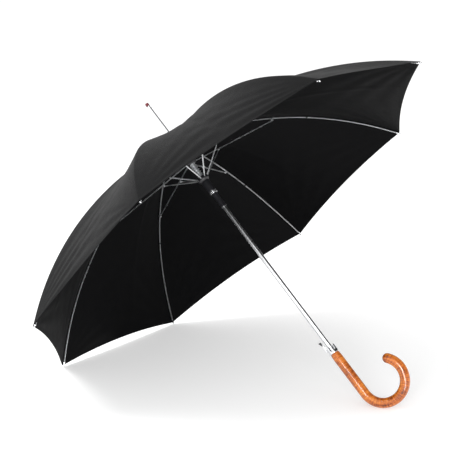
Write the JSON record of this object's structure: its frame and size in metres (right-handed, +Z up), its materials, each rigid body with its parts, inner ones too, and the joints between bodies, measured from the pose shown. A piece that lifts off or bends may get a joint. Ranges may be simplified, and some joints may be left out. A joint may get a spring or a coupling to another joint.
{
  "type": "stick umbrella",
  "caption": "Open stick umbrella: domed cloth canopy on hinged ribs, stretchers and struts, sprung runner on a metal shaft, release button and wooden crook handle.",
  "frame": {"origin": "middle of the bounding box, on the ground that two rib tips and the crook rest on", "axes": "+Z up; +X runs level from the canopy towards the handle, under the shaft; +Y to the side"},
  "size_m": [0.7502, 0.9534, 0.6883],
  "materials": {
    "varnished_wood": "clear gloss varnish over stained wood",
    "chrome": "polished",
    "steel": "bright drawn steel",
    "black_plastic": "satin moulded",
    "red_plastic": "glossy, dark red",
    "black_cloth": "tightly woven black polyester"
  },
  "bodies": {
    "frame": {"crook_handle": "varnished_wood", "handle_collar": "chrome", "lever_pin": "steel", "lever_spring": "steel", "shaft": "chrome", "crown": "black_plastic", "crown_wire": "steel", "canopy_cap": "black_plastic", "ferrule": "chrome", "ferrule_end": "red_plastic"},
    "lever": {"release_lever": "chrome", "release_button": "black_plastic"},
    "slider": {"stretcher_slider": "black_plastic", "slider_wire": "steel"},
    "runner": {"runner_hub": "black_plastic", "runner_wire": "steel", "runner_barrel": "black_plastic", "runner_band": "steel", "runner_tube": "black_plastic", "opening_spring": "steel"},
    "rib_1": {"rib_1": "steel", "rib_tip_1": "chrome", "canopy_gore_1": "black_cloth"},
    "stretcher_1": {"stretcher_1": "steel"},
    "strut_1": {"strut_1": "steel"},
    "rib_2": {"rib_2": "steel", "rib_tip_2": "chrome", "canopy_gore_2": "black_cloth"},
    "stretcher_2": {"stretcher_2": "steel"},
    "strut_2": {"strut_2": "steel"},
    "rib_3": {"rib_3": "steel", "rib_tip_3": "chrome", "canopy_gore_3": "black_cloth"},
    "stretcher_3": {"stretcher_3": "steel"},
    "strut_3": {"strut_3": "steel"},
    "rib_4": {"rib_4": "steel", "rib_tip_4": "chrome", "canopy_gore_4": "black_cloth"},
    "stretcher_4": {"stretcher_4": "steel"},
    "strut_4": {"strut_4": "steel"},
    "rib_5": {"rib_5": "steel", "rib_tip_5": "chrome", "canopy_gore_5": "black_cloth"},
    "stretcher_5": {"stretcher_5": "steel"},
    "strut_5": {"strut_5": "steel"},
    "rib_6": {"rib_6": "steel", "rib_tip_6": "chrome", "canopy_gore_6": "black_cloth"},
    "stretcher_6": {"stretcher_6": "steel"},
    "strut_6": {"strut_6": "steel"},
    "rib_7": {"rib_7": "steel", "rib_tip_7": "chrome", "canopy_gore_7": "black_cloth"},
    "stretcher_7": {"stretcher_7": "steel"},
    "strut_7": {"strut_7": "steel"},
    "rib_8": {"rib_8": "steel", "rib_tip_8": "chrome", "canopy_gore_8": "black_cloth"},
    "stretcher_8": {"stretcher_8": "steel"},
    "strut_8": {"strut_8": "steel"}
  },
  "joints": [
    {"name": "runner_slide", "type": "slide", "parent": "frame", "child": "runner", "axis": [0.7188, 0, -0.6952], "range_m": [0, 0.38068], "stiffness_N_per_m": 25, "springref_m": -0.5, "deforming": ["opening_spring"]},
    {"name": "slider_slide", "type": "slide", "parent": "frame", "child": "slider", "axis": [0.7188, 0, -0.6952], "range_m": [0, 0.41405]},
    {"name": "button_press", "type": "hinge", "parent": "frame", "child": "lever", "pos_m": [0.1915, -0.00394, 0.10666], "axis": [-0.266, 0.9239, -0.2751], "range_deg": [0, 8], "stiffness_Nm_per_rad": 0.05, "springref_deg": -17.19},
    {"name": "rib_1_fold", "type": "hinge", "parent": "frame", "child": "rib_1", "pos_m": [-0.1884, 0.00364, 0.49951], "axis": [-0.266, 0.9239, -0.2751], "range_deg": [0, 65.94], "deforming": ["canopy_gore_1"]},
    {"name": "stretcher_1_fold", "type": "hinge", "parent": "slider", "child": "stretcher_1", "pos_m": [-0.15287, 0.00637, 0.46433], "axis": [0.266, -0.9239, 0.2751], "range_deg": [0, 74.6]},
    {"name": "strut_1_fold", "type": "hinge", "parent": "runner", "child": "strut_1", "pos_m": [-0.11814, 0.00459, 0.43478], "axis": [0.266, -0.9239, 0.2751], "range_deg": [0, 43.96]},
    {"name": "rib_2_fold", "type": "hinge", "parent": "frame", "child": "rib_2", "pos_m": [-0.19197, 0.00878, 0.49582], "axis": [-0.6423, 0.3827, -0.6641], "range_deg": [0, 65.94], "deforming": ["canopy_gore_2"]},
    {"name": "stretcher_2_fold", "type": "hinge", "parent": "slider", "child": "stretcher_2", "pos_m": [-0.15766, 0.01029, 0.45937], "axis": [0.6423, -0.3827, 0.6641], "range_deg": [0, 74.6]},
    {"name": "strut_2_fold", "type": "hinge", "parent": "runner", "child": "strut_2", "pos_m": [-0.12266, 0.01109, 0.43011], "axis": [0.6423, -0.3827, 0.6641], "range_deg": [0, 43.96]},
    {"name": "rib_3_fold", "type": "hinge", "parent": "frame", "child": "rib_3", "pos_m": [-0.19702, 0.00878, 0.49059], "axis": [-0.6423, -0.3827, -0.6641], "range_deg": [0, 65.94], "deforming": ["canopy_gore_3"]},
    {"name": "stretcher_3_fold", "type": "hinge", "parent": "slider", "child": "stretcher_3", "pos_m": [-0.16298, 0.00819, 0.45387], "axis": [0.6423, 0.3827, 0.6641], "range_deg": [0, 74.6]},
    {"name": "strut_3_fold", "type": "hinge", "parent": "runner", "child": "strut_3", "pos_m": [-0.12904, 0.01109, 0.42351], "axis": [0.6423, 0.3827, 0.6641], "range_deg": [0, 43.96]},
    {"name": "rib_4_fold", "type": "hinge", "parent": "frame", "child": "rib_4", "pos_m": [-0.2006, 0.00364, 0.48689], "axis": [-0.266, -0.9239, -0.2751], "range_deg": [0, 65.94], "deforming": ["canopy_gore_4"]},
    {"name": "stretcher_4_fold", "type": "hinge", "parent": "slider", "child": "stretcher_4", "pos_m": [-0.16571, 0.00129, 0.45105], "axis": [0.266, 0.9239, 0.2751], "range_deg": [0, 74.6]},
    {"name": "strut_4_fold", "type": "hinge", "parent": "runner", "child": "strut_4", "pos_m": [-0.13356, 0.00459, 0.41884], "axis": [0.266, 0.9239, 0.2751], "range_deg": [0, 43.96]},
    {"name": "rib_5_fold", "type": "hinge", "parent": "frame", "child": "rib_5", "pos_m": [-0.2006, -0.00364, 0.48689], "axis": [0.266, -0.9239, 0.2751], "range_deg": [0, 65.94], "deforming": ["canopy_gore_5"]},
    {"name": "stretcher_5_fold", "type": "hinge", "parent": "slider", "child": "stretcher_5", "pos_m": [-0.16425, -0.00637, 0.45256], "axis": [-0.266, 0.9239, -0.2751], "range_deg": [0, 74.6]},
    {"name": "strut_5_fold", "type": "hinge", "parent": "runner", "child": "strut_5", "pos_m": [-0.13356, -0.00459, 0.41884], "axis": [-0.266, 0.9239, -0.2751], "range_deg": [0, 43.96]},
    {"name": "rib_6_fold", "type": "hinge", "parent": "frame", "child": "rib_6", "pos_m": [-0.19702, -0.00878, 0.49059], "axis": [0.6423, -0.3827, 0.6641], "range_deg": [0, 65.94], "deforming": ["canopy_gore_6"]},
    {"name": "stretcher_6_fold", "type": "hinge", "parent": "slider", "child": "stretcher_6", "pos_m": [-0.15945, -0.01029, 0.45752], "axis": [-0.6423, 0.3827, -0.6641], "range_deg": [0, 74.6]},
    {"name": "strut_6_fold", "type": "hinge", "parent": "runner", "child": "strut_6", "pos_m": [-0.12904, -0.01109, 0.42351], "axis": [-0.6423, 0.3827, -0.6641], "range_deg": [0, 43.96]},
    {"name": "rib_7_fold", "type": "hinge", "parent": "frame", "child": "rib_7", "pos_m": [-0.19197, -0.00878, 0.49582], "axis": [0.6423, 0.3827, 0.6641], "range_deg": [0, 65.94], "deforming": ["canopy_gore_7"]},
    {"name": "stretcher_7_fold", "type": "hinge", "parent": "slider", "child": "stretcher_7", "pos_m": [-0.15413, -0.00819, 0.46302], "axis": [-0.6423, -0.3827, -0.6641], "range_deg": [0, 74.6]},
    {"name": "strut_7_fold", "type": "hinge", "parent": "runner", "child": "strut_7", "pos_m": [-0.12266, -0.01109, 0.43011], "axis": [-0.6423, -0.3827, -0.6641], "range_deg": [0, 43.96]},
    {"name": "rib_8_fold", "type": "hinge", "parent": "frame", "child": "rib_8", "pos_m": [-0.1884, -0.00364, 0.49951], "axis": [0.266, 0.9239, 0.2751], "range_deg": [0, 65.94], "deforming": ["canopy_gore_8"]},
    {"name": "stretcher_8_fold", "type": "hinge", "parent": "slider", "child": "stretcher_8", "pos_m": [-0.1514, -0.00129, 0.46584], "axis": [-0.266, -0.9239, -0.2751], "range_deg": [0, 74.6]},
    {"name": "strut_8_fold", "type": "hinge", "parent": "runner", "child": "strut_8", "pos_m": [-0.11814, -0.00459, 0.43478], "axis": [-0.266, -0.9239, -0.2751], "range_deg": [0, 43.96]}
  ],
  "couplings": [
    {"joint": "slider_slide", "follows": "runner_slide", "ratio": 1.0876},
    {"joint": "rib_1_fold", "follows": "runner_slide", "rad_per_m": 3.0229},
    {"joint": "stretcher_1_fold", "follows": "runner_slide", "rad_per_m": 3.42},
    {"joint": "strut_1_fold", "follows": "runner_slide", "rad_per_m": 2.0154},
    {"joint": "rib_2_fold", "follows": "runner_slide", "rad_per_m": 3.0229},
    {"joint": "stretcher_2_fold", "follows": "runner_slide", "rad_per_m": 3.42},
    {"joint": "strut_2_fold", "follows": "runner_slide", "rad_per_m": 2.0154},
    {"joint": "rib_3_fold", "follows": "runner_slide", "rad_per_m": 3.0229},
    {"joint": "stretcher_3_fold", "follows": "runner_slide", "rad_per_m": 3.42},
    {"joint": "strut_3_fold", "follows": "runner_slide", "rad_per_m": 2.0154},
    {"joint": "rib_4_fold", "follows": "runner_slide", "rad_per_m": 3.0229},
    {"joint": "stretcher_4_fold", "follows": "runner_slide", "rad_per_m": 3.42},
    {"joint": "strut_4_fold", "follows": "runner_slide", "rad_per_m": 2.0154},
    {"joint": "rib_5_fold", "follows": "runner_slide", "rad_per_m": 3.0229},
    {"joint": "stretcher_5_fold", "follows": "runner_slide", "rad_per_m": 3.42},
    {"joint": "strut_5_fold", "follows": "runner_slide", "rad_per_m": 2.0154},
    {"joint": "rib_6_fold", "follows": "runner_slide", "rad_per_m": 3.0229},
    {"joint": "stretcher_6_fold", "follows": "runner_slide", "rad_per_m": 3.42},
    {"joint": "strut_6_fold", "follows": "runner_slide", "rad_per_m": 2.0154},
    {"joint": "rib_7_fold", "follows": "runner_slide", "rad_per_m": 3.0229},
    {"joint": "stretcher_7_fold", "follows": "runner_slide", "rad_per_m": 3.42},
    {"joint": "strut_7_fold", "follows": "runner_slide", "rad_per_m": 2.0154},
    {"joint": "rib_8_fold", "follows": "runner_slide", "rad_per_m": 3.0229},
    {"joint": "stretcher_8_fold", "follows": "runner_slide", "rad_per_m": 3.42},
    {"joint": "strut_8_fold", "follows": "runner_slide", "rad_per_m": 2.0154}
  ]
}
